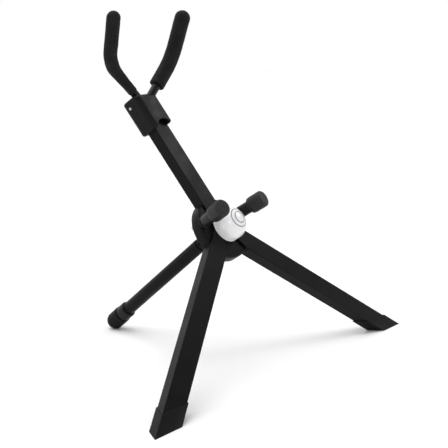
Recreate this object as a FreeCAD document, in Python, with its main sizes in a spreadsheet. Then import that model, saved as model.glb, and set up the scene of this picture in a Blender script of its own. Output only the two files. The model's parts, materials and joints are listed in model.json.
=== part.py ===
import FreeCAD, Part
import math
import os
import Sketcher

# Folding saxophone stand: two front legs and a rear prop around one tilted hub, an arm that carries
# a padded fork, and two rubber-capped pegs beside a white dome.
# +Z is up, -Y is forward (the side the dome faces), the ground is Z = 0.
# The hub frame has x to the right, y up the hub plane and z out of the dome along the hub axis.

doc = FreeCAD.newDocument("saxophone_stand")
os.makedirs("parts", exist_ok=True)

FAR = 600.0             # half size of the blocks that cut whole regions away
RIM_EDGE = 50.0         # a round edge longer than this is the disc's rim
BAR_EDGE = 80.0         # a straight edge longer than this runs along a bar

SIZES = [
    # small clearances: running fit, touching faces, loose fit, closed ends, and how far cuts overshoot
    ("fit_gap", 0.02), ("contact_gap", 0.05), ("slack", 0.1), ("end_gap", 0.2), ("overcut", 1.0),
    # the stand as a whole
    ("origin_shift_x", 0.0), ("origin_shift_y", -31.88), ("hub_height", 130.0), ("hub_tilt", 33.2),
    ("leg_angle", 50.0), ("arm_skew", 10.2),
    # front legs and the hub disc
    ("bar_width", 20.9), ("bar_thick", 11.6), ("bar_round", 0.7), ("leg_shift", 0.5),
    ("leg_reach", 275.0), ("disc_radius", 32.5), ("disc_back", 7.0), ("disc_front", 4.0),
    ("disc_round", 2.4), ("rim_gap", 0.8), ("tongue_low", 3.7), ("tongue_thick", 2.1),
    ("eye_radius", 12.0), ("eye_gap", 0.2), ("wedge_angle", 17.0), ("joggle_radius", 14.6),
    ("joggle_inner", 12.6), ("trim_from", 5.0),
    ("sole_thick", 3.0), ("cap_wall", 0.75), ("cap_gap", 0.1), ("cap_height", 13.4),
    ("cap_from", 190.0), ("cap_past", 20.0),
    # arm
    ("arm_length", 153.0), ("arm_root", 24.0), ("arm_front", 6.0), ("arm_back", 6.0),
    # centre bolt, washer, nut, seat ring and dome
    ("bolt_radius", 4.0), ("bore_radius", 4.06), ("bolt_head_radius", 8.0), ("bolt_head_thick", 2.4),
    ("bolt_front", 15.6), ("washer_low", 8.7), ("washer_thick", 1.0), ("washer_radius", 11.0),
    ("nut_across", 13.0), ("nut_thick", 4.6),
    ("seat_low", 8.9), ("seat_thick", 2.0), ("seat_radius", 15.4), ("seat_bore", 12.4),
    ("dome_low", 6.6), ("dome_radius", 17.0), ("dome_skirt", 7.4), ("dome_rise", 14.6),
    ("dome_wall", 1.5),
    # pegs
    ("peg_x", 26.5), ("peg_y", 9.5), ("peg_splay_left", 12.0), ("peg_splay_right", 9.0),
    ("peg_radius", 6.2), ("peg_length", 35.2), ("peg_base", 4.1), ("peg_cap_from", 20.4),
    ("peg_cap_radius", 8.8), ("peg_cap_length", 17.4), ("peg_cap_gap", 0.1), ("peg_neck", 4.7),
    ("peg_neck_from", 2.0), ("peg_neck_to", 5.0), ("peg_step", 0.6),
    ("peg_screw_radius", 2.0), ("peg_screw_head", 3.6), ("peg_screw_depth", 9.0),
    ("peg_hole_radius", 2.06), ("screw_head_thick", 2.0), ("screw_into_peg", 7.0),
    ("boot_mouth", 0.8), ("boot_end_round", 2.2),
    # rear bracket and pin
    ("bracket_radius", 14.0), ("bracket_thick", 4.0), ("bracket_gap", 0.1), ("lug_inner", 4.6),
    ("lug_outer", 7.6), ("lug_half", 6.0), ("lug_past", 5.0), ("pin_back", 17.4),
    ("pin_radius", 2.5), ("pin_bore", 2.56), ("pin_head_radius", 4.0), ("pin_head_thick", 1.4),
    # rear leg
    ("rear_angle", 173.4), ("rear_radius", 7.1), ("rear_bore", 5.7), ("rear_tube_from", 15.5),
    ("rear_tongue_half", 4.3), ("rear_eye_radius", 5.2), ("rear_stem_half", 4.16),
    ("rear_spigot_root", 2.0), ("rear_plug_to", 27.0), ("rear_tube_in_ball", 4.0),
    ("collar_from", 26.0), ("collar_length", 12.0), ("collar_radius", 8.9),
    ("collar_bevel_top", 1.0), ("collar_bevel_low", 0.6), ("foot_radius", 9.5),
    # fork head
    ("head_from", 118.5), ("head_length", 38.6), ("head_width", 30.6), ("head_depth", 23.2),
    ("head_corner", 5.5), ("head_round", 2.4), ("head_top", 262.2), ("head_bevel", 1.2),
    ("slot_depth", 35.5), ("slot_gap", 0.2), ("notch_radius", 12.0), ("notch_drop", 5.5),
    ("relief_half", 10.8), ("relief_front", 3.0), ("relief_depth", 13.0),
    ("cross_pin_along", 149.0), ("cross_pin_back", 3.6), ("cross_pin_radius", 1.5),
    ("cross_pin_half", 15.6), ("cross_hole", 1.55),
    # fork rods and foam sleeves
    ("fork_turn", 10.0), ("fork_at", 140.0), ("fork_roll", 1.9), ("rod_radius", 4.3),
    ("socket_radius", 4.35), ("knee_bend", 34.0), ("root_lean", -3.1), ("knee_lean", -7.1),
    ("tip_lean", 10.0), ("root_height", 126.5), ("knee_height", 164.0), ("root_half", 5.2),
    ("knee_half_left", 38.0), ("knee_half_right", 39.8), ("tip_half_left", 43.0),
    ("tip_half_right", 42.3), ("tip_height_left", 208.4), ("tip_height_right", 206.0),
    ("foam_left_radius", 6.9), ("foam_right_radius", 8.0), ("foam_bore", 4.45),
    ("foam_left_from", 12.0), ("foam_right_from", 18.0),
]
sheet = doc.addObject("Spreadsheet::Sheet", "Sizes")
for row, (alias, value) in enumerate(SIZES, start=1):
    sheet.set("A%d" % row, alias)
    sheet.set("B%d" % row, str(value))
    sheet.setAlias("B%d" % row, alias)
doc.recompute()
V = {alias: float(getattr(sheet, alias)) for alias, value in SIZES}

Vec = FreeCAD.Vector
Rot = FreeCAD.Rotation
Place = FreeCAD.Placement
X_AXIS = Vec(1, 0, 0)
Y_AXIS = Vec(0, 1, 0)
Z_AXIS = Vec(0, 0, 1)

# Frames that the pieces are built in.
hub_frame = Place(Vec(V["origin_shift_x"], V["origin_shift_y"], V["hub_height"]),
                  Rot(X_AXIS, 90.0 - V["hub_tilt"]))
arm_frame = hub_frame * Place(Vec(), Rot(Z_AXIS, V["arm_skew"]))
leg_middle = Vec(0, 0, V["leg_shift"])
leg_frames = {"left": hub_frame * Place(leg_middle, Rot(Z_AXIS, 180.0 - V["leg_angle"])),
              "right": hub_frame * Place(leg_middle, Rot(Z_AXIS, V["leg_angle"] - 180.0))}
rear_frame = hub_frame * Place(Vec(0, 0, -V["pin_back"]), Rot(X_AXIS, V["rear_angle"]))
head_frame = arm_frame * Place(Vec(0, V["head_from"], -0.5 * (V["arm_back"] - V["arm_front"])),
                               Rot(X_AXIS, -90.0))
SIDES = (("left", -1.0), ("right", 1.0))
results = []


def keep(obj, label):
    """Give a finished piece its name and put it on the list of pieces to export."""
    obj.Label = label
    results.append(obj)
    return obj


def new_body(name, frame):
    body = doc.addObject("PartDesign::Body", name)
    body.Placement = frame
    return body


def value_of(obj, text):
    """The number that an expression over the sheet gives."""
    found = obj.evalExpression(text)
    return float(getattr(found, "Value", found))


def sketch_on(body, role="XY_Plane", offset=None):
    """A sketch on one of the body's own origin planes; offset is an expression along the normal."""
    sketch = body.newObject("Sketcher::SketchObject", "Sketch")
    plane = [item for item in body.Origin.OriginFeatures if item.Role == role][0]
    sketch.AttachmentSupport = [(plane, "")]
    sketch.MapMode = "FlatFace"
    if offset:
        sketch.setExpression("AttachmentOffset.Base.z", offset)
    return sketch


def pin_point(sketch, geo, pos, x_text, y_text):
    """Tie one point of a sketch to the two expressions that give its coordinates."""
    for kind, text, axis in (("DistanceX", x_text, -2), ("DistanceY", y_text, -1)):
        number = value_of(sketch, text)
        if abs(number) < 1e-9:
            sketch.addConstraint(Sketcher.Constraint("PointOnObject", geo, pos, axis))
        else:
            index = sketch.addConstraint(Sketcher.Constraint(kind, -1, 1, geo, pos, number))
            sketch.setExpression("Constraints[%d]" % index, text)


def add_circle(sketch, radius_text, x_text="0", y_text="0"):
    centre = Vec(value_of(sketch, x_text), value_of(sketch, y_text), 0)
    radius = value_of(sketch, radius_text)
    geo = sketch.addGeometry(Part.Circle(centre, Z_AXIS, radius), False)
    if centre.Length < 1e-9:
        sketch.addConstraint(Sketcher.Constraint("Coincident", geo, 3, -1, 1))
    else:
        pin_point(sketch, geo, 3, x_text, y_text)
    index = sketch.addConstraint(Sketcher.Constraint("Radius", geo, radius))
    sketch.setExpression("Constraints[%d]" % index, radius_text)
    return geo


def add_outline(sketch, corners):
    """A closed outline of straight sides whose corners are pairs of expressions."""
    points = [Vec(value_of(sketch, x), value_of(sketch, y), 0) for x, y in corners]
    count = len(points)
    first = None
    for i in range(count):
        geo = sketch.addGeometry(Part.LineSegment(points[i], points[(i + 1) % count]), False)
        first = geo if first is None else first
    for i in range(count):
        after = first + (i + 1) % count
        sketch.addConstraint(Sketcher.Constraint("Coincident", first + i, 2, after, 1))
    for i, (x_text, y_text) in enumerate(corners):
        pin_point(sketch, first + i, 1, x_text, y_text)
    return first


def add_box_outline(sketch, x0, x1, y0, y1):
    return add_outline(sketch, [(x0, y0), (x1, y0), (x1, y1), (x0, y1)])


def pad(body, sketch, length, reverse=False):
    feature = body.newObject("PartDesign::Pad", "Pad")
    feature.Profile = sketch
    feature.setExpression("Length", length)
    feature.Reversed = reverse
    return feature


def pocket(body, sketch, length, reverse=False):
    """Cut a sketch away and make sure that material really left."""
    doc.recompute()
    before = body.Shape.Volume
    feature = body.newObject("PartDesign::Pocket", "Pocket")
    feature.Profile = sketch
    feature.setExpression("Length", length)
    feature.Reversed = reverse
    doc.recompute()
    if body.Shape.Volume > before - 1e-6:
        feature.Reversed = not reverse
        doc.recompute()
    return feature


def revolve(body, sketch):
    """Turn a half profile drawn on the XZ plane about the body's own z axis."""
    feature = body.newObject("PartDesign::Revolution", "Revolution")
    feature.Profile = sketch
    feature.ReferenceAxis = (sketch, ["V_Axis"])
    feature.Angle = 360.0
    return feature


def round_edges(body, radius, choose):
    """Fillet the edges of the body's current shape that pass the test."""
    doc.recompute()
    base = body.Tip
    names = ["Edge%d" % (i + 1) for i, edge in enumerate(base.Shape.Edges) if choose(edge)]
    feature = body.newObject("PartDesign::Fillet", "Fillet")
    feature.Base = (base, names)
    feature.setExpression("Radius", radius)
    doc.recompute()
    return feature


def is_straight(edge):
    return edge.Curve.TypeId == "Part::GeomLine"


def runs_along(edge, axis):
    """True for a straight edge parallel to an axis of the body's own frame."""
    return is_straight(edge) and abs(abs(edge.Curve.Direction.dot(axis)) - 1.0) < 1e-6


def block(frame, x0, x1, y0, y1, z0, z1, name="Block"):
    """A box given by its limits in a frame."""
    box = doc.addObject("Part::Box", name)
    box.Length = x1 - x0
    box.Width = y1 - y0
    box.Height = z1 - z0
    box.Placement = frame * Place(Vec(x0, y0, z0), Rot())
    return box


def join(kind, first, second, label=None):
    """A boolean of two objects: Cut or Common."""
    feature = doc.addObject("Part::" + kind, kind)
    feature.Base = first
    feature.Tool = second
    doc.recompute()
    if label:
        keep(feature, label)
    return feature


# ---- arm: a flat bar that grows out of the round hub disc ----
arm = new_body("ArmBody", arm_frame)
disc_sketch = sketch_on(arm, offset="-Sizes.disc_back")
add_circle(disc_sketch, "Sizes.disc_radius")
pad(arm, disc_sketch, "Sizes.disc_back + Sizes.disc_front")
round_edges(arm, "Sizes.disc_round", lambda e: not is_straight(e) and e.Length > RIM_EDGE
            and e.CenterOfMass.z > 0)
bar_sketch = sketch_on(arm, offset="-Sizes.arm_back")
add_box_outline(bar_sketch, "-Sizes.bar_width / 2", "Sizes.bar_width / 2",
                "Sizes.arm_root", "Sizes.arm_length")
pad(arm, bar_sketch, "Sizes.arm_back + Sizes.arm_front")
round_edges(arm, "Sizes.bar_round", lambda e: runs_along(e, Y_AXIS) and e.Length > BAR_EDGE)
bore_sketch = sketch_on(arm, offset="-Sizes.disc_back")
add_circle(bore_sketch, "Sizes.bore_radius")
pocket(arm, bore_sketch, "Sizes.disc_back + Sizes.disc_front", True)
# the pegs stand level although the arm leans to one side, so their holes are turned back
skew_cos = "cos(Sizes.arm_skew * 1deg)"
skew_sin = "sin(Sizes.arm_skew * 1deg)"
for across, along in (("-", "+"), ("", "-")):
    hole_x = "%sSizes.peg_x * %s + Sizes.peg_y * %s" % (across, skew_cos, skew_sin)
    hole_y = "Sizes.peg_y * %s %s Sizes.peg_x * %s" % (skew_cos, along, skew_sin)
    hole_sketch = sketch_on(arm, offset="-Sizes.disc_back")
    add_circle(hole_sketch, "Sizes.peg_hole_radius", hole_x, hole_y)
    pocket(arm, hole_sketch, "Sizes.disc_back + Sizes.disc_front", True)
cross_sketch = sketch_on(arm, "YZ_Plane", offset="-Sizes.bar_width")
add_circle(cross_sketch, "Sizes.cross_hole", "Sizes.cross_pin_along", "-Sizes.cross_pin_back")
pocket(arm, cross_sketch, "2 * Sizes.bar_width", True)

# ---- front legs: a bar with a hollowed end that slides round the disc, and a thin tongue ----
below_ground = block(Place(), -FAR, FAR, -FAR, FAR, -FAR, V["sole_thick"], "BelowSole")
for side, inner in (("left", "-"), ("right", "")):
    leg = new_body("Leg_" + side, leg_frames[side])
    bar = sketch_on(leg, offset="-Sizes.bar_thick / 2")
    add_box_outline(bar, "-Sizes.bar_width / 2", "Sizes.bar_width / 2", "Sizes.eye_radius / 2",
                    "Sizes.leg_reach")
    pad(leg, bar, "Sizes.bar_thick")
    round_edges(leg, "Sizes.bar_round", lambda e: runs_along(e, Y_AXIS) and e.Length > BAR_EDGE)
    hollow = sketch_on(leg, offset="-Sizes.bar_thick / 2 - Sizes.overcut")
    add_circle(hollow, "Sizes.disc_radius + Sizes.rim_gap")
    pocket(leg, hollow, "Sizes.bar_thick / 2 + Sizes.overcut + Sizes.tongue_low", True)
    # trim the tongue on the side that faces the other leg
    trim = sketch_on(leg, offset="Sizes.tongue_low - Sizes.overcut")
    slope = "tan(Sizes.wedge_angle * 1deg)"
    add_outline(trim, [("%s(Sizes.trim_from * %s)" % (inner, slope), "Sizes.trim_from"),
                       ("%s(Sizes.disc_radius * %s)" % (inner, slope), "Sizes.disc_radius"),
                       ("%s(Sizes.bar_width)" % inner, "Sizes.disc_radius"),
                       ("%s(Sizes.bar_width)" % inner, "Sizes.trim_from")])
    pocket(leg, trim, "Sizes.bar_thick", True)
    if side == "left":
        eye = sketch_on(leg, offset="Sizes.tongue_low")
        add_circle(eye, "Sizes.eye_radius")
        pad(leg, eye, "Sizes.tongue_thick")
    else:
        # the right tongue steps over the left one near the axis
        step = sketch_on(leg, offset="Sizes.tongue_low - Sizes.overcut")
        add_circle(step, "Sizes.joggle_inner")
        pocket(leg, step, "Sizes.bar_thick", True)
        upper = sketch_on(leg, offset="Sizes.tongue_low + Sizes.tongue_thick")
        add_box_outline(upper, "-Sizes.eye_radius / 3", "Sizes.eye_radius / 3", "Sizes.bolt_radius",
                        "Sizes.joggle_radius")
        pad(leg, upper, "Sizes.tongue_thick + Sizes.eye_gap")
        eye = sketch_on(leg, offset="Sizes.tongue_low + Sizes.tongue_thick + Sizes.eye_gap")
        add_circle(eye, "Sizes.eye_radius")
        pad(leg, eye, "Sizes.tongue_thick")
        under = sketch_on(leg, offset="Sizes.tongue_low + Sizes.tongue_thick - Sizes.overcut")
        add_circle(under, "Sizes.joggle_inner")
        pocket(leg, under, "Sizes.overcut + Sizes.eye_gap", True)
    bolt_hole = sketch_on(leg)
    add_circle(bolt_hole, "Sizes.bore_radius")
    pocket(leg, bolt_hole, "Sizes.bar_thick + Sizes.tongue_thick", True)
    join("Cut", leg, below_ground, "leg_" + side)

    # rubber foot cap: a boot with level top and sole
    half_w = V["bar_width"] / 2
    half_t = V["bar_thick"] / 2
    grown = V["cap_wall"]
    gap = V["cap_gap"]
    cap_to = V["leg_reach"] + V["cap_past"]
    boot = block(leg_frames[side], -half_w - grown, half_w + grown, V["cap_from"], cap_to,
                 -half_t - grown, half_t + grown, "Boot")
    slab = block(Place(), -FAR, FAR, -FAR, FAR, 0, V["cap_height"], "Slab")
    inside = block(leg_frames[side], -half_w - gap, half_w + gap, V["cap_from"] - V["overcut"],
                   cap_to + V["overcut"], -half_t - gap, half_t + gap, "Inside")
    under_sole = block(Place(), -FAR, FAR, -FAR, FAR, -FAR, V["sole_thick"] - gap, "UnderSole")
    room = join("Cut", inside, under_sole)
    join("Cut", join("Common", boot, slab), room, "foot_cap_" + side)
doc.recompute()


# ---- centre bolt, nut, washer, seat ring and dome ----
bolt = new_body("BoltBody", hub_frame)
head = sketch_on(bolt, offset="-Sizes.disc_back - Sizes.bracket_gap - Sizes.bracket_thick")
add_circle(head, "Sizes.bolt_head_radius - Sizes.slack")
pad(bolt, head, "Sizes.bolt_head_thick")
shank = sketch_on(bolt, offset="-Sizes.disc_back - Sizes.bracket_gap - Sizes.bracket_thick")
add_circle(shank, "Sizes.bolt_radius")
pad(bolt, shank, "Sizes.disc_back + Sizes.bracket_gap + Sizes.bracket_thick + Sizes.bolt_front")
keep(bolt, "centre_bolt")

washer = new_body("WasherBody", hub_frame)
ring = sketch_on(washer, offset="Sizes.washer_low")
add_circle(ring, "Sizes.washer_radius")
add_circle(ring, "Sizes.bore_radius")
pad(washer, ring, "Sizes.washer_thick")
keep(washer, "friction_washer")

nut = new_body("NutBody", hub_frame)
hexagon = sketch_on(nut, offset="Sizes.washer_low + Sizes.washer_thick + Sizes.slack")
corner = "Sizes.nut_across / (2 * cos(30deg))"
add_outline(hexagon, [("%s * cos(%ddeg)" % (corner, angle), "%s * sin(%ddeg)" % (corner, angle))
                      for angle in (30, 90, 150, 210, 270, 330)])
pad(nut, hexagon, "Sizes.nut_thick")
nut_bore = sketch_on(nut)
add_circle(nut_bore, "Sizes.bolt_radius + Sizes.fit_gap")
pocket(nut, nut_bore, "Sizes.bolt_front + Sizes.overcut", True)
keep(nut, "centre_nut")

seat = new_body("SeatBody", hub_frame)
ring = sketch_on(seat, offset="Sizes.seat_low")
add_circle(ring, "Sizes.seat_radius")
add_circle(ring, "Sizes.seat_bore")
pad(seat, ring, "Sizes.seat_thick")
seat_rim = 2.0 * math.pi * V["seat_radius"]
round_edges(seat, "Sizes.seat_thick / 4", lambda e: abs(e.Length - seat_rim) < V["slack"])
keep(seat, "dome_seat_ring")


def dome_shape(radius, low, shoulder, top):
    """A domed solid of revolution: skirt from low to shoulder, elliptic top up to top."""
    steps = 20
    arc_points = []
    for i in range(steps + 1):
        turn = 0.5 * math.pi * i / steps
        arc_points.append(Vec(radius * math.cos(turn), 0, shoulder + (top - shoulder) * math.sin(turn)))
    curve = Part.BSplineCurve()
    curve.interpolate(arc_points)
    edges = [Part.LineSegment(Vec(0, 0, low), Vec(radius, 0, low)).toShape(),
             Part.LineSegment(Vec(radius, 0, low), Vec(radius, 0, shoulder)).toShape(),
             curve.toShape(),
             Part.LineSegment(Vec(0, 0, top), Vec(0, 0, low)).toShape()]
    face = Part.Face(Part.Wire(edges))
    return face.revolve(Vec(0, 0, 0), Z_AXIS, 360.0)


def feature_of(label, shape, frame):
    """A piece whose shape is made in code from the sheet's sizes."""
    feature = doc.addObject("Part::Feature", label)
    feature.Shape = shape
    feature.Placement = frame
    return keep(feature, label)


shoulder = V["dome_low"] + V["dome_skirt"]
peak = shoulder + V["dome_rise"]
outer = dome_shape(V["dome_radius"], V["dome_low"], shoulder, peak)
inner = dome_shape(V["dome_radius"] - V["dome_wall"], V["dome_low"] - V["overcut"],
                   shoulder, peak - V["dome_wall"])
feature_of("dome_cap", outer.cut(inner), hub_frame)
doc.recompute()

# ---- pegs with rubber caps, held by screws from behind the disc ----
for side, sign in SIDES:
    peg_frame = hub_frame * Place(Vec(sign * V["peg_x"], V["peg_y"], V["peg_base"]),
                                  Rot(Y_AXIS, sign * V["peg_splay_" + side]))
    peg = new_body("Peg_" + side, peg_frame)
    half = sketch_on(peg, "XZ_Plane")
    foot_z = "Sizes.peg_radius * sin(Sizes.peg_splay_%s * 1deg)" % side
    add_outline(half, [("0", foot_z), ("Sizes.peg_radius", foot_z),
                       ("Sizes.peg_radius", "Sizes.peg_neck_from"),
                       ("Sizes.peg_neck", "Sizes.peg_neck_from + Sizes.peg_step"),
                       ("Sizes.peg_neck", "Sizes.peg_neck_to"),
                       ("Sizes.peg_radius", "Sizes.peg_neck_to + Sizes.peg_step"),
                       ("Sizes.peg_radius", "Sizes.peg_length"), ("0", "Sizes.peg_length")])
    revolve(peg, half)
    # the screw runs along the hub axis, so its hole in the splayed peg is a little askew
    screw_room = doc.addObject("Part::Cylinder", "ScrewRoom")
    screw_room.setExpression("Radius", "Sizes.peg_hole_radius")
    screw_room.setExpression("Height", "Sizes.peg_screw_depth")
    screw_room.Placement = hub_frame * Place(Vec(sign * V["peg_x"], V["peg_y"], V["disc_front"]), Rot())
    join("Cut", peg, screw_room, "peg_" + side)

    peg_cap = new_body("PegCap_" + side, peg_frame)
    half = sketch_on(peg_cap, "XZ_Plane")
    cap_top = "Sizes.peg_cap_from + Sizes.peg_cap_length"
    inner_r = "Sizes.peg_radius + Sizes.peg_cap_gap"
    inner_top = "Sizes.peg_length + Sizes.peg_cap_gap"
    add_outline(half, [(inner_r, "Sizes.peg_cap_from"),
                       ("Sizes.peg_cap_radius - Sizes.boot_mouth", "Sizes.peg_cap_from"),
                       ("Sizes.peg_cap_radius", "Sizes.peg_cap_from + Sizes.boot_mouth"),
                       ("Sizes.peg_cap_radius", cap_top + " - Sizes.boot_end_round"),
                       ("Sizes.peg_cap_radius - Sizes.boot_end_round", cap_top),
                       ("0", cap_top), ("0", inner_top), (inner_r, inner_top)])
    revolve(peg_cap, half)
    keep(peg_cap, "peg_cap_" + side)


screw_solids = []
for side, sign in SIDES:
    at = Vec(sign * V["peg_x"], V["peg_y"], 0)
    head_face = -V["disc_back"] - V["contact_gap"]
    shank = Part.makeCylinder(V["peg_screw_radius"], V["disc_front"] + V["screw_into_peg"] - head_face,
                              at + Vec(0, 0, head_face))
    head = Part.makeCylinder(V["peg_screw_head"], V["screw_head_thick"],
                             at + Vec(0, 0, head_face - V["screw_head_thick"]))
    screw_solids.append(shank.fuse(head))
feature_of("peg_screws", Part.makeCompound([solid.removeSplitter() for solid in screw_solids]), hub_frame)

# ---- rear bracket and its pin ----
bracket = new_body("BracketBody", hub_frame)
plate = sketch_on(bracket, offset="-Sizes.disc_back - Sizes.bracket_gap")
add_circle(plate, "Sizes.bracket_radius")
pad(bracket, plate, "Sizes.bracket_thick", True)
for near, far in (("Sizes.lug_inner", "Sizes.lug_outer"), ("-Sizes.lug_outer", "-Sizes.lug_inner")):
    lug = sketch_on(bracket, offset="-Sizes.disc_back - Sizes.bracket_gap - Sizes.bracket_thick")
    add_box_outline(lug, near, far, "-Sizes.lug_half", "Sizes.lug_half")
    pad(bracket, lug, "Sizes.pin_back + Sizes.lug_past - Sizes.disc_back - Sizes.bracket_gap"
        " - Sizes.bracket_thick", True)
head_room = sketch_on(bracket, offset="-Sizes.disc_back - Sizes.bracket_gap - Sizes.bracket_thick")
add_circle(head_room, "Sizes.bolt_head_radius")
pocket(bracket, head_room, "Sizes.bolt_head_thick + Sizes.contact_gap", True)
plate_bore = sketch_on(bracket)
add_circle(plate_bore, "Sizes.bore_radius")
pocket(bracket, plate_bore, "Sizes.disc_back + Sizes.bracket_thick + Sizes.overcut", False)
pin_hole = sketch_on(bracket, "YZ_Plane", offset="-2 * Sizes.lug_outer")
add_circle(pin_hole, "Sizes.pin_radius + Sizes.fit_gap", "0", "-Sizes.pin_back")
pocket(bracket, pin_hole, "4 * Sizes.lug_outer", True)
keep(bracket, "rear_bracket")

pin_frame = hub_frame * Place(Vec(0, 0, -V["pin_back"]), Rot(Y_AXIS, 90))
hinge_pin = new_body("HingePin", pin_frame)
half = sketch_on(hinge_pin, "XZ_Plane")
add_outline(half, [("0", "-Sizes.lug_outer - Sizes.pin_head_thick"),
                   ("Sizes.pin_head_radius", "-Sizes.lug_outer - Sizes.pin_head_thick"),
                   ("Sizes.pin_head_radius", "-Sizes.lug_outer - Sizes.contact_gap"),
                   ("Sizes.pin_radius", "-Sizes.lug_outer - Sizes.contact_gap"),
                   ("Sizes.pin_radius", "Sizes.lug_outer + Sizes.contact_gap"),
                   ("Sizes.pin_head_radius", "Sizes.lug_outer + Sizes.contact_gap"),
                   ("Sizes.pin_head_radius", "Sizes.lug_outer + Sizes.pin_head_thick"),
                   ("0", "Sizes.lug_outer + Sizes.pin_head_thick")])
revolve(hinge_pin, half)
keep(hinge_pin, "rear_hinge_pin")

# ---- rear leg: end plug with an eye, round tube, collar and ball foot ----
tilt = math.radians(V["rear_angle"] - V["hub_tilt"])
rear_length = (V["hub_height"] - V["pin_back"] * math.sin(math.radians(V["hub_tilt"]))
               - V["foot_radius"]) / math.sin(tilt)
doc.recompute()
plug = new_body("PlugBody", rear_frame)
eye = sketch_on(plug, "YZ_Plane", offset="-Sizes.rear_tongue_half")
add_circle(eye, "Sizes.rear_eye_radius")
pad(plug, eye, "2 * Sizes.rear_tongue_half")
stem = sketch_on(plug)
add_box_outline(stem, "-Sizes.rear_tongue_half", "Sizes.rear_tongue_half",
                "-Sizes.rear_stem_half", "Sizes.rear_stem_half")
pad(plug, stem, "Sizes.rear_tube_from")
spigot = sketch_on(plug, offset="Sizes.rear_tube_from - Sizes.rear_spigot_root")
add_circle(spigot, "Sizes.rear_bore - Sizes.contact_gap")
pad(plug, spigot, "Sizes.rear_plug_to - Sizes.rear_tube_from + Sizes.rear_spigot_root")
eye_hole = sketch_on(plug, "YZ_Plane", offset="-2 * Sizes.rear_tongue_half")
add_circle(eye_hole, "Sizes.pin_bore")
pocket(plug, eye_hole, "4 * Sizes.rear_tongue_half", True)
keep(plug, "rear_leg_eye")


def turned(label, frame, profile):
    """A solid of revolution about the frame's z axis from (radius, height) corners."""
    points = [Vec(r, 0, z) for r, z in profile]
    wire = Part.makePolygon(points + [points[0]])
    return feature_of(label, Part.Face(wire).revolve(Vec(0, 0, 0), Z_AXIS, 360.0), frame)


tube_end = rear_length - V["rear_tube_in_ball"]
tube_from = V["rear_tube_from"]
bore = V["rear_bore"]
skin = V["rear_radius"]
turned("rear_leg_tube", rear_frame,
       [(bore, tube_from), (skin, tube_from), (skin, tube_end), (bore, tube_end)])
collar_from = rear_length - V["collar_from"]
collar_to = collar_from + V["collar_length"]
collar_bore = V["rear_radius"] + V["contact_gap"]
collar_skin = V["collar_radius"]
turned("rear_leg_collar", rear_frame,
       [(collar_bore, collar_from), (collar_skin - V["collar_bevel_top"], collar_from),
        (collar_skin, collar_from + V["collar_bevel_top"]),
        (collar_skin, collar_to - V["collar_bevel_low"]),
        (collar_skin - V["collar_bevel_low"], collar_to), (collar_bore, collar_to)])
ball = Part.makeSphere(V["foot_radius"], Vec(0, 0, rear_length))
neck_from = collar_to + V["end_gap"]
neck = Part.makeCylinder(V["foot_radius"], rear_length - neck_from, Vec(0, 0, neck_from))
tube_room = Part.makeCylinder(collar_bore, tube_end + V["slack"] - collar_to, Vec(0, 0, collar_to))
feature_of("rear_foot_ball", ball.fuse(neck).cut(tube_room).removeSplitter(), rear_frame)

# ---- fork head block on the arm's end ----
head_body = new_body("HeadBody", head_frame)
outline = sketch_on(head_body)
add_box_outline(outline, "-Sizes.head_width / 2", "Sizes.head_width / 2",
                "-Sizes.head_depth / 2", "Sizes.head_depth / 2")
pad(head_body, outline, "Sizes.head_length")
round_edges(head_body, "Sizes.head_corner", lambda e: runs_along(e, Z_AXIS))
round_edges(head_body, "Sizes.head_round", lambda e: not runs_along(e, Z_AXIS))
slot = sketch_on(head_body)
add_box_outline(slot, "-Sizes.bar_width / 2 - Sizes.slot_gap", "Sizes.bar_width / 2 + Sizes.slot_gap",
                "-Sizes.arm_back / 2 - Sizes.arm_front / 2 - Sizes.slot_gap",
                "Sizes.arm_back / 2 + Sizes.arm_front / 2 + Sizes.slot_gap")
pocket(head_body, slot, "Sizes.slot_depth", True)
# the slot's mouth is wider in front of the arm, and the front wall is arched over it
relief = sketch_on(head_body)
add_box_outline(relief, "-Sizes.relief_half", "Sizes.relief_half",
                "-Sizes.arm_back / 2 - Sizes.arm_front / 2 - Sizes.relief_front", "0")
pocket(head_body, relief, "Sizes.relief_depth", True)
notch = sketch_on(head_body, "XZ_Plane", offset="Sizes.arm_front")
add_circle(notch, "Sizes.notch_radius", "0", "-Sizes.notch_drop")
pocket(head_body, notch, "Sizes.head_depth", True)
above_head = block(Place(), -FAR, FAR, -FAR, FAR, V["head_top"], V["head_top"] + FAR, "AboveHead")
head_cut = join("Cut", head_body, above_head)
head_top_edges = [i + 1 for i, edge in enumerate(head_cut.Shape.Edges)
                  if edge.BoundBox.ZMin > V["head_top"] - V["slack"]]
head_bevelled = doc.addObject("Part::Chamfer", "HeadBevel")
head_bevelled.Base = head_cut
head_bevelled.Edges = [(i, V["head_bevel"], V["head_bevel"]) for i in head_top_edges]
doc.recompute()

# fork frame: origin on the ground under the head, x across the prongs, y to the rear
head_point = arm_frame.multVec(Vec(0, V["fork_at"], 0))
fork_base = Place(Vec(head_point.x, head_point.y, V["hub_height"]), Rot(Z_AXIS, -V["fork_turn"]))
fork_root = Vec(0, 0, V["root_height"])
fork_frame = fork_base * Place(fork_root, Rot(Y_AXIS, -V["fork_roll"])) * Place(-fork_root, Rot())


def rod_points(side, sign):
    """Root, knee and tip of one prong in the fork frame; leaning forward is -y."""
    return (Vec(sign * V["root_half"], -V["root_lean"], V["root_height"]),
            Vec(sign * V["knee_half_" + side], -V["knee_lean"], V["knee_height"]),
            Vec(sign * V["tip_half_" + side], -V["tip_lean"], V["tip_height_" + side]))


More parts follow.
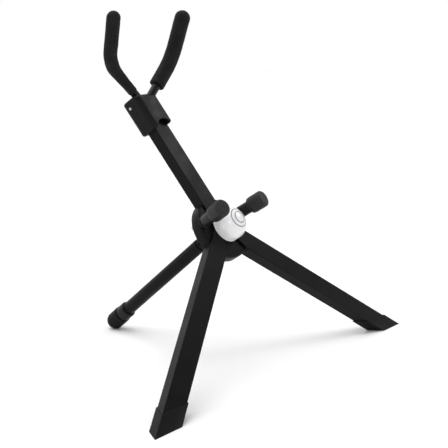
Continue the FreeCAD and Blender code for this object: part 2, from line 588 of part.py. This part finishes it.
def swept(side, sign, radius, start=0.0, past=0.0):
    """A round bar along one prong: straight, bent and straight again.

    It starts a distance along the first straight and may run past the tip.
    """
    root, knee, tip = rod_points(side, sign)
    first = (knee - root).normalize()
    last = (tip - knee).normalize()
    half_bend = first.getAngle(last) / 2
    reach = V["knee_bend"] * math.tan(half_bend)
    begin = root + first * start
    bend_from = knee - first * reach
    bend_to = knee + last * reach
    end = tip + last * past
    inward = (last - first).normalize()
    bend_middle = knee + inward * (V["knee_bend"] / math.cos(half_bend) - V["knee_bend"])
    path = Part.Wire([Part.LineSegment(begin, bend_from).toShape(),
                      Part.Arc(bend_from, bend_middle, bend_to).toShape(),
                      Part.LineSegment(bend_to, end).toShape()])
    circle = Part.Wire([Part.makeCircle(radius, begin, first)])
    return path.makePipeShell([circle], True, True)


socket_tools = []
for side, sign in SIDES:
    feature_of("fork_rod_" + side, swept(side, sign, V["rod_radius"]), fork_frame)
    tool = swept(side, sign, V["socket_radius"])
    tool.Placement = fork_frame
    socket_tools.append(tool)
    foam_radius = V["foam_%s_radius" % side]
    foam_from = V["foam_%s_from" % side]
    tip = rod_points(side, sign)[2]
    sleeve = swept(side, sign, foam_radius, foam_from).fuse(Part.makeSphere(foam_radius, tip))
    core = swept(side, sign, V["foam_bore"], foam_from - V["overcut"], V["end_gap"])
    feature_of("foam_sleeve_" + side, sleeve.cut(core).removeSplitter(), fork_frame)

sockets = doc.addObject("Part::Feature", "Sockets")
sockets.Shape = socket_tools[0].fuse(socket_tools[1])
pin_world = arm_frame * Place(Vec(-V["cross_pin_half"], V["cross_pin_along"], -V["cross_pin_back"]),
                              Rot(Y_AXIS, 90))
pin_tool = doc.addObject("Part::Cylinder", "PinTool")
pin_tool.Radius = V["cross_hole"]
pin_tool.Height = 2 * V["cross_pin_half"]
pin_tool.Placement = pin_world
join("Cut", arm, sockets, "arm")
head_bored = join("Cut", head_bevelled, sockets)
join("Cut", head_bored, pin_tool, "fork_head_block")
cross_pin = doc.addObject("Part::Cylinder", "CrossPin")
cross_pin.setExpression("Radius", "Sizes.cross_pin_radius")
cross_pin.setExpression("Height", "2 * Sizes.cross_pin_half")
cross_pin.Placement = pin_world
keep(cross_pin, "head_cross_pin")

doc.recompute()
problems = [item.Label for item in doc.Objects if "Invalid" in item.State or "Error" in item.State]
if problems:
    raise RuntimeError("objects with errors: %s" % ", ".join(problems))
for item in results:
    shape = item.Shape
    if shape.isNull() or not shape.isValid():
        raise RuntimeError("bad shape: " + item.Label)
    print(item.Label, len(shape.Solids), round(shape.Volume, 1), [round(v, 2) for v in (
        shape.BoundBox.XMin, shape.BoundBox.XMax, shape.BoundBox.YMin, shape.BoundBox.YMax,
        shape.BoundBox.ZMin, shape.BoundBox.ZMax)])
    shape.exportStep("parts/%s.step" % item.Label)
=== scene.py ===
import bpy
import bmesh
import json
import math
from mathutils import Matrix, Vector, noise


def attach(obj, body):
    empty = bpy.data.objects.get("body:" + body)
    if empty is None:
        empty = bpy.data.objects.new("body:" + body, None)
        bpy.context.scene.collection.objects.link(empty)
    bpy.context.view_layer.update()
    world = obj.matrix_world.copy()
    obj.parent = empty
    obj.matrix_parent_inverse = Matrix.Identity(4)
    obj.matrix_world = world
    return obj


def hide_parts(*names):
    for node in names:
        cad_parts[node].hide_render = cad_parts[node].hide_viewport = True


# Folding saxophone stand, in the part's frame: +Z up, -Y forward. Lengths are in metres, except
# the dome's and the peg boots' profiles, which are in millimetres and scaled where they are turned.
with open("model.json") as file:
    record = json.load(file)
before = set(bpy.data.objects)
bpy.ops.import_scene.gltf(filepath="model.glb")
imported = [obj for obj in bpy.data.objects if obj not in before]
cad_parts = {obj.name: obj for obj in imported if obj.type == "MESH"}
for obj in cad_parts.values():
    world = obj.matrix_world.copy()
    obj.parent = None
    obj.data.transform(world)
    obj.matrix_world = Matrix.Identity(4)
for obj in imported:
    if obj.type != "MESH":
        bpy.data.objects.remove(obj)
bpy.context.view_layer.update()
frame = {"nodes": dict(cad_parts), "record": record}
nodes = frame["nodes"]
joints = {joint["name"]: joint for joint in frame["record"]["behaviour"]["joints"]}
scene = bpy.context.scene
MM = 0.001

# The hub frame: z out of the dome along the leg hinge axis, y up the hub plane, x to the right
# as seen from the front.
hub_at = Vector(joints["left_leg_swing"]["pos_m"])
hub_z = Vector(joints["left_leg_swing"]["axis"]).normalized()
hub_x = Vector((1.0, 0.0, 0.0))
hub_y = hub_z.cross(hub_x)
hub_matrix = Matrix.Translation(hub_at) @ Matrix((hub_x, hub_y, hub_z)).transposed().to_4x4()


# ---- camera: the photograph's viewing angle, aimed a little above and beside the hub ----
AZIMUTH, ELEVATION = math.radians(52.4), math.radians(10.86)
DISTANCE = 1.004
AIM_RIGHT, AIM_UP = 3.0 * MM, 5.2 * MM
SENSOR_MM, LENS_MM = 36.0, 80.7
to_camera = Vector((-math.sin(AZIMUTH) * math.cos(ELEVATION),
                    -math.cos(AZIMUTH) * math.cos(ELEVATION), math.sin(ELEVATION)))
right = Vector((math.cos(AZIMUTH), -math.sin(AZIMUTH), 0.0))
up = to_camera.cross(right)
camera_data = bpy.data.cameras.new("camera")
camera_data.sensor_width = SENSOR_MM
camera_data.lens = LENS_MM
camera = bpy.data.objects.new("camera", camera_data)
scene.collection.objects.link(camera)
target = hub_at + right * AIM_RIGHT + up * AIM_UP
camera.matrix_world = (Matrix.Translation(target + to_camera * DISTANCE)
                       @ Matrix((right, up, to_camera)).transposed().to_4x4())
scene.camera = camera


# ---- materials ----
NOISE_LOW, NOISE_HIGH = 0.35, 0.65  # most of the slow noise lies between these


def surface(name, colour, rough, grain, height, metallic=0.0, specular=0.5, shade=0.25, patch=60.0,
            rough_spread=0.08, cells=0.0, cell_height=0.0, coat=0.0, stretch=(1.0, 1.0, 1.0)):
    """A finish with fine grain, slow patches of shade and roughness, and optional pores.

    grain, patch and cells are features per metre; height and cell_height are bump depths in metres.
    """
    mat = bpy.data.materials.new(name)
    mat.use_nodes = True
    tree = mat.node_tree
    tree.nodes.clear()

    def add(kind, **inputs):
        node = tree.nodes.new(kind)
        for key, value in inputs.items():
            node.inputs[key.replace("_", " ")].default_value = value
        return node

    out = add("ShaderNodeOutputMaterial")
    shader = add("ShaderNodeBsdfPrincipled", Metallic=metallic, Specular_IOR_Level=specular,
                 Coat_Weight=coat)
    coords = add("ShaderNodeTexCoord")
    place = add("ShaderNodeMapping", Scale=stretch)
    fine = add("ShaderNodeTexNoise", Scale=grain, Detail=4.0, Roughness=0.6)
    slow = add("ShaderNodeTexNoise", Scale=patch, Detail=3.0)
    tree.links.new(coords.outputs["Object"], place.inputs["Vector"])
    for texture in (fine, slow):
        tree.links.new(place.outputs["Vector"], texture.inputs["Vector"])

    # Shade: the mean of the two noises picks a colour between darker and lighter.
    colours = add("ShaderNodeMix")
    colours.data_type = "RGBA"
    colours.inputs["A"].default_value = (*[c * (1.0 - shade) for c in colour], 1.0)
    colours.inputs["B"].default_value = (*[min(1.0, c * (1.0 + shade)) for c in colour], 1.0)
    blend = add("ShaderNodeMath")
    blend.operation = "ADD"
    half = add("ShaderNodeMath")
    half.operation = "MULTIPLY"
    half.inputs[1].default_value = 0.5
    tree.links.new(slow.outputs["Fac"], blend.inputs[0])
    tree.links.new(fine.outputs["Fac"], blend.inputs[1])
    tree.links.new(blend.outputs[0], half.inputs[0])
    tree.links.new(half.outputs[0], colours.inputs["Factor"])
    tree.links.new(colours.outputs["Result"], shader.inputs["Base Color"])

    span = add("ShaderNodeMapRange", From_Min=NOISE_LOW, From_Max=NOISE_HIGH,
               To_Min=rough - rough_spread, To_Max=rough + rough_spread)
    tree.links.new(slow.outputs["Fac"], span.inputs["Value"])
    tree.links.new(span.outputs["Result"], shader.inputs["Roughness"])

    bump = add("ShaderNodeBump", Strength=1.0, Distance=height)
    tree.links.new(fine.outputs["Fac"], bump.inputs["Height"])
    last = bump
    if cells:
        pores = add("ShaderNodeTexVoronoi", Scale=cells)
        tree.links.new(place.outputs["Vector"], pores.inputs["Vector"])
        dents = add("ShaderNodeBump", Strength=1.0, Distance=cell_height)
        tree.links.new(pores.outputs["Distance"], dents.inputs["Height"])
        tree.links.new(bump.outputs["Normal"], dents.inputs["Normal"])
        last = dents
    tree.links.new(last.outputs["Normal"], shader.inputs["Normal"])
    tree.links.new(shader.outputs["BSDF"], out.inputs["Surface"])
    return mat


black_metal = surface("satin_black_metal", (0.0030, 0.0030, 0.0034), rough=0.40, grain=1100.0,
                      height=0.00006, specular=0.115, patch=45.0, rough_spread=0.06)
black_hardware = surface("black_hardware", (0.005, 0.005, 0.0055), rough=0.36, grain=900.0,
                         height=0.00004, specular=0.25)
zinc = surface("zinc_steel", (0.42, 0.42, 0.43), rough=0.30, grain=700.0, height=0.00003,
               metallic=1.0, stretch=(1.0, 6.0, 1.0), shade=0.12)
black_plastic = surface("black_plastic", (0.005, 0.005, 0.0055), rough=0.36, grain=1400.0,
                        height=0.00006, specular=0.22, cells=1500.0, cell_height=0.00002)
white_plastic = surface("white_plastic", (0.83, 0.83, 0.84), rough=0.22, grain=260.0,
                        height=0.00001, coat=0.4, shade=0.015, rough_spread=0.04)
rubber = surface("black_rubber", (0.0035, 0.0035, 0.0038), rough=0.55, grain=800.0,
                 height=0.00007, specular=0.14, cells=900.0, cell_height=0.00003)
# The peg caps are the same black rubber as the feet. This copy is painted about three times lighter and
# glossier, as painted light.
peg_rubber_painted_light = surface("peg_rubber_painted_light", (0.010, 0.010, 0.0105), rough=0.50, grain=800.0,
                     height=0.00006, specular=0.34, cells=900.0, cell_height=0.00003)
# The head block is the same black plastic as the other moulded parts. This copy is painted darker and
# duller, as painted shade.
head_plastic_painted_shade = surface("head_plastic_painted_shade", (0.0035, 0.0035, 0.0038), rough=0.44, grain=1400.0,
                       height=0.00006, specular=0.16, cells=1500.0, cell_height=0.00002)
foam = surface("black_foam", (0.0045, 0.0045, 0.005), rough=0.75, grain=1500.0,
               height=0.00014, specular=0.22, cells=1300.0, cell_height=0.00014, shade=0.35)
grey_print = surface("grey_print", (0.16, 0.16, 0.17), rough=0.40, grain=900.0,
                     height=0.00002, shade=0.1)

FINISH = {"satin_black_metal": black_metal, "black_hardware": black_hardware, "zinc_steel": zinc,
          "black_plastic": black_plastic, "white_plastic": white_plastic, "black_rubber": rubber,
          "black_foam": foam}
slot_of = {part["node"]: part["material_slot"] for part in frame["record"]["subparts"]}


def paint(obj, mat):
    obj.data.materials.clear()
    obj.data.materials.append(mat)


for name, obj in nodes.items():
    paint(obj, FINISH[slot_of[name]])
# The head block gets the darker copy of the black plastic: painted shade.
paint(nodes["fork_head_block"], head_plastic_painted_shade)


# ---- helpers for the detailed pieces ----
MERGE_DISTANCE = 1e-6  # corners closer than this are one corner
ON_AXIS = 1e-6  # millimetres; a profile point nearer the axis than this is a pole
BEVEL_ANGLE = math.radians(32)  # the edges of CAD pieces sharper than this are rounded
CREASE_ANGLE = math.radians(35)  # the edges of turned pieces sharper than this stay crisp
EDGE_SEGMENTS = 3


def soften(obj, width):
    """Join the split corners of a CAD mesh for display and round its sharp edges."""
    weld = obj.modifiers.new("weld", "WELD")
    weld.merge_threshold = MERGE_DISTANCE
    bevel = obj.modifiers.new("bevel", "BEVEL")
    bevel.width = width
    bevel.segments = EDGE_SEGMENTS
    bevel.limit_method = "ANGLE"
    bevel.angle_limit = BEVEL_ANGLE
    bevel.harden_normals = True
    bevel.use_clamp_overlap = True


def add_piece(name, mesh, body, mat, slot, *stands_for):
    obj = bpy.data.objects.new(name, mesh)
    scene.collection.objects.link(obj)
    paint(obj, mat)
    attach(obj, body)
    if stands_for:
        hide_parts(*stands_for)
    return obj


def smooth_by_angle(mesh):
    """Smooth faces, with the edges sharper than CREASE_ANGLE kept crisp."""
    work = bmesh.new()
    work.from_mesh(mesh)
    for face in work.faces:
        face.smooth = True
    for edge in work.edges:
        edge.smooth = not (edge.is_manifold and edge.calc_face_angle(0.0) > CREASE_ANGLE)
    work.to_mesh(mesh)
    work.free()


def arc(centre, radius, start, stop, steps):
    """Points (r, z) on an arc, angles in degrees from +r towards +z."""
    return [(centre[0] + radius * math.cos(math.radians(start + (stop - start) * i / steps)),
             centre[1] + radius * math.sin(math.radians(start + (stop - start) * i / steps)))
            for i in range(steps + 1)]


def lathe(name, profile, matrix, segments):
    """A solid of revolution from a closed loop of (r, z) points in millimetres, in the given frame."""
    work = bmesh.new()
    rings = []
    for r, z in profile:
        if r < ON_AXIS:
            rings.append([work.verts.new((0.0, 0.0, z * MM))])
            continue
        rings.append([work.verts.new((r * MM * math.cos(2 * math.pi * k / segments),
                                      r * MM * math.sin(2 * math.pi * k / segments), z * MM))
                      for k in range(segments)])
    for lower, upper in zip(rings, rings[1:] + rings[:1]):
        for k in range(segments):
            after = (k + 1) % segments
            corners = [lower[k % len(lower)], lower[after % len(lower)],
                       upper[after % len(upper)], upper[k % len(upper)]]
            corners = list(dict.fromkeys(corners))
            if len(corners) > 2:
                work.faces.new(corners)
    bmesh.ops.recalc_face_normals(work, faces=work.faces)
    mesh = bpy.data.meshes.new(name)
    work.to_mesh(mesh)
    work.free()
    mesh.transform(matrix)
    smooth_by_angle(mesh)
    return mesh


# ---- dome: a glossy cap with a fine shadow groove near its rim and two plain rings on top ----
# Millimetres in the hub frame. The groove's heights are above the rim.
DOME_LOW, DOME_R, DOME_SHOULDER, DOME_TOP, DOME_WALL = 6.6, 17.0, 14.0, 28.6, 1.5
RIM_EDGE = 0.5
GROOVE_LOW, GROOVE_HIGH, GROOVE_SLOPE, GROOVE_DEPTH = 1.6, 2.4, 0.2, 0.35
OUTER_STEPS, INNER_STEPS = 30, 16
RING_TURNS = {"dome_ring_outer": (54.0, 57.0), "dome_ring_inner": (68.0, 71.0)}
RING_PROUD, RING_SUNK, RING_STEPS = 0.09, 0.2, 5


def dome_point(turn, offset=0.0):
    """A point offset from the dome's outer curve; turn is 0 at the shoulder and 90 at the top."""
    angle = math.radians(turn)
    a, b = DOME_R, DOME_TOP - DOME_SHOULDER
    normal = Vector((math.cos(angle) / a, math.sin(angle) / b)).normalized()
    return (a * math.cos(angle) + normal.x * offset,
            DOME_SHOULDER + b * math.sin(angle) + normal.y * offset)


dome_profile = [(DOME_R - RIM_EDGE, DOME_LOW), (DOME_R, DOME_LOW + RIM_EDGE),
                (DOME_R, DOME_LOW + GROOVE_LOW),
                (DOME_R - GROOVE_DEPTH, DOME_LOW + GROOVE_LOW + GROOVE_SLOPE),
                (DOME_R - GROOVE_DEPTH, DOME_LOW + GROOVE_HIGH - GROOVE_SLOPE),
                (DOME_R, DOME_LOW + GROOVE_HIGH)]
dome_profile += [dome_point(90.0 * i / OUTER_STEPS) for i in range(OUTER_STEPS)]
dome_profile += [(0.0, DOME_TOP), (0.0, DOME_TOP - DOME_WALL)]
dome_profile += [dome_point(90.0 * i / INNER_STEPS, -DOME_WALL) for i in range(INNER_STEPS - 1, -1, -1)]
dome_profile += [(DOME_R - DOME_WALL, DOME_LOW)]
add_piece("dome_shell", lathe("dome_shell", dome_profile, hub_matrix, segments=128),
          "hub", white_plastic, "white_plastic", "dome_cap")
for name, (turn_from, turn_to) in RING_TURNS.items():
    step = (turn_to - turn_from) / RING_STEPS
    ring = [dome_point(turn_from + step * i, RING_PROUD) for i in range(RING_STEPS + 1)]
    ring += [dome_point(turn_to - step * i, -RING_SUNK) for i in range(RING_STEPS + 1)]
    add_piece(name, lathe(name, ring, hub_matrix, segments=96), "hub", grey_print, "black_plastic")


# ---- pegs' rubber caps: a rolled mouth, a slightly waisted body and a round end with a dimple ----
# Millimetres. A peg's frame has z along the peg, and stands on the hub at PEG_X, PEG_Y, PEG_BASE.
PEG_X, PEG_Y, PEG_BASE = 26.5, 9.5, 4.1
PEG_SPLAY = {"left": -12.0, "right": 9.0}
CAP_FROM, CAP_LENGTH, CAP_R, CAP_BORE, PEG_TOP = 20.4, 17.4, 8.8, 6.3, 35.3
CAP_TOP = CAP_FROM + CAP_LENGTH
# Heights from the mouth, and distances in from CAP_R.
ROLL_R, ROLL_IN = 1.2, 0.3
LIP_R, LIP_AT = 2.5, 4.2
WAIST = ((0.12, 8.0), (0.05, 11.5))
END_R, END_IN = 2.6, 0.05
DIMPLE_R, DIMPLE_SLOPE, DIMPLE_DEPTH = 1.9, 0.3, 0.25

boot_profile = [(CAP_BORE, CAP_FROM)]
boot_profile += arc((CAP_R - ROLL_IN - ROLL_R, CAP_FROM + ROLL_R), ROLL_R, -90, -20, 6)
boot_profile += arc((CAP_R - LIP_R, CAP_FROM + LIP_AT), LIP_R, -25, 0, 5)
boot_profile += [(CAP_R - inward, CAP_FROM + height) for inward, height in WAIST]
boot_profile += arc((CAP_R - END_IN - END_R, CAP_TOP - END_R), END_R, 0, 90, 10)
boot_profile += [(DIMPLE_R + DIMPLE_SLOPE, CAP_TOP), (DIMPLE_R, CAP_TOP - DIMPLE_DEPTH),
                 (0.0, CAP_TOP - DIMPLE_DEPTH), (0.0, PEG_TOP), (CAP_BORE, PEG_TOP)]
for side, splay in PEG_SPLAY.items():
    peg_x = math.copysign(PEG_X, splay)
    peg_matrix = (hub_matrix @ Matrix.Translation(Vector((peg_x, PEG_Y, PEG_BASE)) * MM)
                  @ Matrix.Rotation(math.radians(splay), 4, "Y"))
    name = "peg_boot_" + side
    # The caps get the lighter copy of the black rubber: painted light.
    add_piece(name, lathe(name, boot_profile, peg_matrix, segments=72), "hub", peg_rubber_painted_light,
              "black_rubber", "peg_cap_" + side)


# ---- foam sleeves: slightly uneven closed-cell foam, the left one thinner at its low end ----
VOXEL = 0.75 * MM
SMOOTH_FACTOR, SMOOTH_PASSES = 0.5, 4
SLOW_NOISE, SLOW_SWELL = 130.0, 0.16 * MM  # noise per metre, and how far it moves the surface
QUICK_NOISE, QUICK_SWELL = 620.0, 0.07 * MM
SINK = 0.08 * MM  # keeps the uneven surface inside the CAD sleeve's size on average
TAPER_LENGTH, TAPER_END, TAPER_POWER = 34.0 * MM, 0.22, 1.8
FOAM_BORE = 4.45 * MM
FOAM_END, ROD_END = 10.0 * MM, 7.0 * MM  # how far up from the lowest corner an end ring reaches


def low_ring(node, depth):
    """The middle of the ring of corners at the low end of a straight tube."""
    points = [vertex.co for vertex in node.data.vertices]
    bottom = min(point.z for point in points)
    ring = [point for point in points if point.z < bottom + depth]
    return Vector([(min(point[i] for point in ring) + max(point[i] for point in ring)) / 2.0
                   for i in range(3)])


def taper(mesh, foot, axis):
    """Thin the sleeve's wall towards its low end, as if pulled tight on the rod there."""
    for vertex in mesh.vertices:
        along = (vertex.co - foot).dot(axis)
        if along > TAPER_LENGTH:
            continue
        middle = foot + axis * along
        out = vertex.co - middle
        if out.length > FOAM_BORE:
            share = (max(along, 0.0) / TAPER_LENGTH) ** TAPER_POWER
            wall = (out.length - FOAM_BORE) * (TAPER_END + (1.0 - TAPER_END) * share)
            vertex.co = middle + out.normalized() * (FOAM_BORE + wall)


def foam_sleeve(side):
    node = nodes["foam_sleeve_" + side]
    mesh = node.data.copy()
    mesh.name = "foam_" + side
    obj = bpy.data.objects.new("foam_" + side, mesh)
    scene.collection.objects.link(obj)
    weld = obj.modifiers.new("weld", "WELD")
    weld.merge_threshold = MERGE_DISTANCE
    remesh = obj.modifiers.new("remesh", "REMESH")
    remesh.mode = "VOXEL"
    remesh.voxel_size = VOXEL
    soft = obj.modifiers.new("soft", "SMOOTH")
    soft.factor = SMOOTH_FACTOR
    soft.iterations = SMOOTH_PASSES
    evaluated = obj.evaluated_get(bpy.context.evaluated_depsgraph_get())
    made = bpy.data.meshes.new_from_object(evaluated)
    obj.modifiers.clear()
    obj.data = made
    if side == "left":
        foot = low_ring(node, FOAM_END)
        taper(made, foot, (foot - low_ring(nodes["fork_rod_left"], ROD_END)).normalized())
    for vertex in made.vertices:
        slow = noise.noise(vertex.co * SLOW_NOISE)
        quick = noise.noise(vertex.co * QUICK_NOISE)
        vertex.co = vertex.co + vertex.normal * (slow * SLOW_SWELL + quick * QUICK_SWELL - SINK)
    for polygon in made.polygons:
        polygon.use_smooth = True
    paint(obj, foam)
    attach(obj, "hub")
    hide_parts("foam_sleeve_" + side)


for side in ("left", "right"):
    foam_sleeve(side)


# ---- rubber feet of the front legs: rounded boots ----
BOOT_EDGE = 0.55 * MM
FLAT_ANGLE = math.radians(1.0)  # faces that meet flatter than this are joined

for side in ("left", "right"):
    mesh = nodes["foot_cap_" + side].data.copy()
    work = bmesh.new()
    work.from_mesh(mesh)
    bmesh.ops.remove_doubles(work, verts=work.verts, dist=MERGE_DISTANCE)
    bmesh.ops.dissolve_limit(work, angle_limit=FLAT_ANGLE, verts=work.verts, edges=work.edges)
    work.to_mesh(mesh)
    work.free()
    boot = add_piece("foot_boot_" + side, mesh, side + "_leg", rubber, "black_rubber", "foot_cap_" + side)
    bevel = boot.modifiers.new("bevel", "BEVEL")
    bevel.width = BOOT_EDGE
    bevel.segments = EDGE_SEGMENTS
    bevel.limit_method = "ANGLE"
    bevel.harden_normals = True
    for polygon in mesh.polygons:
        polygon.use_smooth = True


# ---- carried-over CAD nodes: small rounded edges, widths in millimetres ----
EDGE_WIDTHS = {"fork_head_block": 0.5, "rear_bracket": 0.3, "centre_nut": 0.3, "peg_left": 0.25,
               "peg_right": 0.25, "rear_leg_collar": 0.3, "rear_leg_eye": 0.3, "rear_leg_tube": 0.2,
               "leg_left": 0.2, "leg_right": 0.2, "arm": 0.2}
for name, width in EDGE_WIDTHS.items():
    soften(nodes[name], width * MM)


# ---- floor ----
FLOOR_HALF = 6.0
floor_mesh = bpy.data.meshes.new("floor")
work = bmesh.new()
bmesh.ops.create_grid(work, x_segments=1, y_segments=1, size=FLOOR_HALF)
work.to_mesh(floor_mesh)
work.free()
floor = bpy.data.objects.new("floor", floor_mesh)
scene.collection.objects.link(floor)
paint(floor, surface("pale_floor", (0.88, 0.88, 0.88), rough=0.8, grain=40.0, height=0.00002,
                     shade=0.01, specular=0.1))


# ---- world: white low down and behind, and darker above the front ----
SKY_RISE = (0.12, 0.40)  # the heights between which the darkening comes in
SKY_TURN = (-0.45, 0.55)  # how far front to back it fades out
SKY_DARKEST = 0.30
world = bpy.data.worlds.new("studio")
world.use_nodes = True
sky = world.node_tree
sky_coords = sky.nodes.new("ShaderNodeTexCoord")
sky_split = sky.nodes.new("ShaderNodeSeparateXYZ")
sky.links.new(sky_coords.outputs["Generated"], sky_split.inputs[0])


def sky_range(source, start, stop, low, high):
    node = sky.nodes.new("ShaderNodeMapRange")
    node.interpolation_type = "SMOOTHSTEP"
    for key, value in (("From Min", start), ("From Max", stop), ("To Min", low), ("To Max", high)):
        node.inputs[key].default_value = value
    sky.links.new(source, node.inputs["Value"])
    return node.outputs["Result"]


sky_up = sky_range(sky_split.outputs["Z"], *SKY_RISE, 0.0, 1.0)
sky_front = sky_range(sky_split.outputs["Y"], *SKY_TURN, 1.0, 0.0)
sky_dark = sky.nodes.new("ShaderNodeMath")
sky_dark.operation = "MULTIPLY"
sky.links.new(sky_up, sky_dark.inputs[0])
sky.links.new(sky_front, sky_dark.inputs[1])
sky_level = sky_range(sky_dark.outputs[0], 0.0, 1.0, 1.0, SKY_DARKEST)
sky.links.new(sky_level, sky.nodes["Background"].inputs["Strength"])
sky.nodes["Background"].inputs["Color"].default_value = (1.0, 1.0, 1.0, 1.0)
scene.world = world
scene.view_settings.view_transform = "Standard"


# ---- lights: a broad sun overhead, a panel at the right and a smaller one at the left front ----
def add_light(name, kind, at, aim, power, size):
    """A sun, whose size is an angle, or a round panel, whose size is its diameter."""
    data = bpy.data.lights.new(name, kind)
    data.energy = power
    if kind == "AREA":
        data.shape = "DISK"
        data.size = size
    else:
        data.angle = size
    lamp = bpy.data.objects.new(name, data)
    scene.collection.objects.link(lamp)
    lamp.location = at
    lamp.rotation_euler = (Vector(aim) - Vector(at)).to_track_quat("-Z", "Y").to_euler()


add_light("overhead", "SUN", (-0.3, 0.5, 2.0), (0.0, 0.0, 0.0), power=1.7, size=math.radians(70))
add_light("side_panel", "AREA", hub_at + Vector((0.55, -0.25, 0.55)),
          hub_at + Vector((0.0, 0.05, 0.10)), power=1.1, size=0.35)
add_light("front_panel", "AREA", hub_at + Vector((-0.54, -0.64, 0.42)),
          hub_at + Vector((0.0, 0.0, 0.06)), power=1.0, size=0.22)
